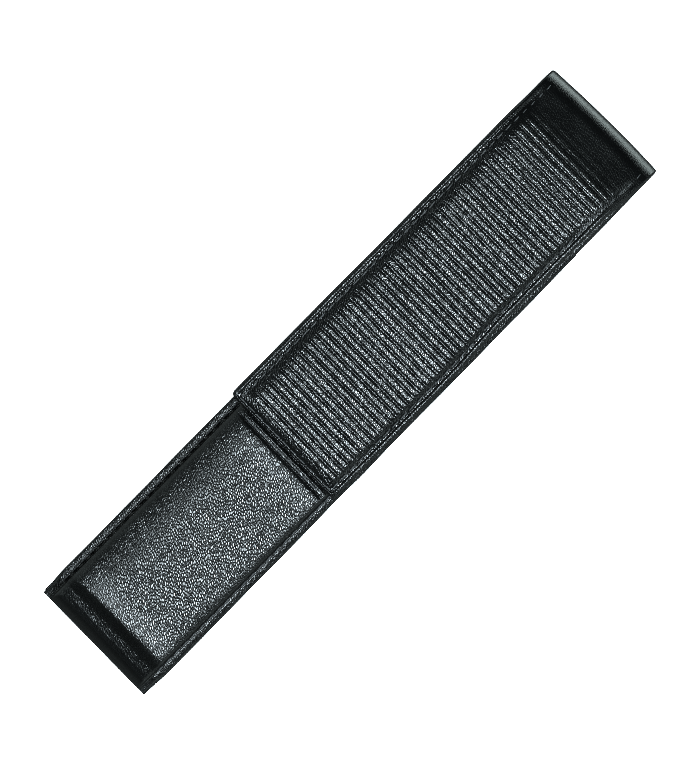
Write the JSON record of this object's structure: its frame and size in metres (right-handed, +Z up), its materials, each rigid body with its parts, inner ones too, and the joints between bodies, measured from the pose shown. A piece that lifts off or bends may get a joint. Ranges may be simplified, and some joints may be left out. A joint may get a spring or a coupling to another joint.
{
  "type": "pen sleeve",
  "caption": "Slim black leather pen sleeve with a ribbed, padded flap that folds over the top end, a grained padded lower front and stitched side hems.",
  "frame": {"origin": "centre of the bounding box on the plane the back lies on", "axes": "+Y along the sleeve towards the folded top end, +X across the width, +Z up out of the front, the sleeve lying on its back"},
  "size_m": [0.0328, 0.165, 0.0192],
  "materials": {
    "grained_leather": "satin pebble grain",
    "ribbed_leather": "satin, pressed cross ribs",
    "edge_leather": "satin smooth",
    "lining": "matte suede-like",
    "wadding": "matte",
    "board": "matte",
    "thread": "satin twisted"
  },
  "bodies": {
    "sleeve": {"back_leather": "grained_leather", "back_board": "board", "back_lining": "lining", "front_lower_leather": "grained_leather", "front_lower_wadding": "wadding", "front_upper_leather": "grained_leather", "front_lining": "lining", "mouth_binding": "edge_leather", "side_thread_left": "thread", "side_thread_right": "thread", "hem_thread": "thread", "mouth_thread": "thread"},
    "fold": {"fold_leather": "grained_leather", "fold_lining": "lining"},
    "flap": {"flap_leather": "ribbed_leather", "flap_wadding": "wadding", "flap_board": "board", "flap_lining": "lining", "flap_thread": "thread"}
  },
  "joints": [
    {"name": "back_crease", "type": "hinge", "parent": "sleeve", "child": "fold", "pos_m": [0, 0.08135, 0.00115], "axis": [-1, 0, 0], "range_deg": [0, 75]},
    {"name": "flap_crease", "type": "hinge", "parent": "fold", "child": "flap", "pos_m": [0, 0.08056, 0.01161], "axis": [-1, 0, 0], "range_deg": [0, 90]}
  ],
  "couplings": [
    {"joint": "flap_crease", "follows": "back_crease", "ratio": 1.2}
  ]
}
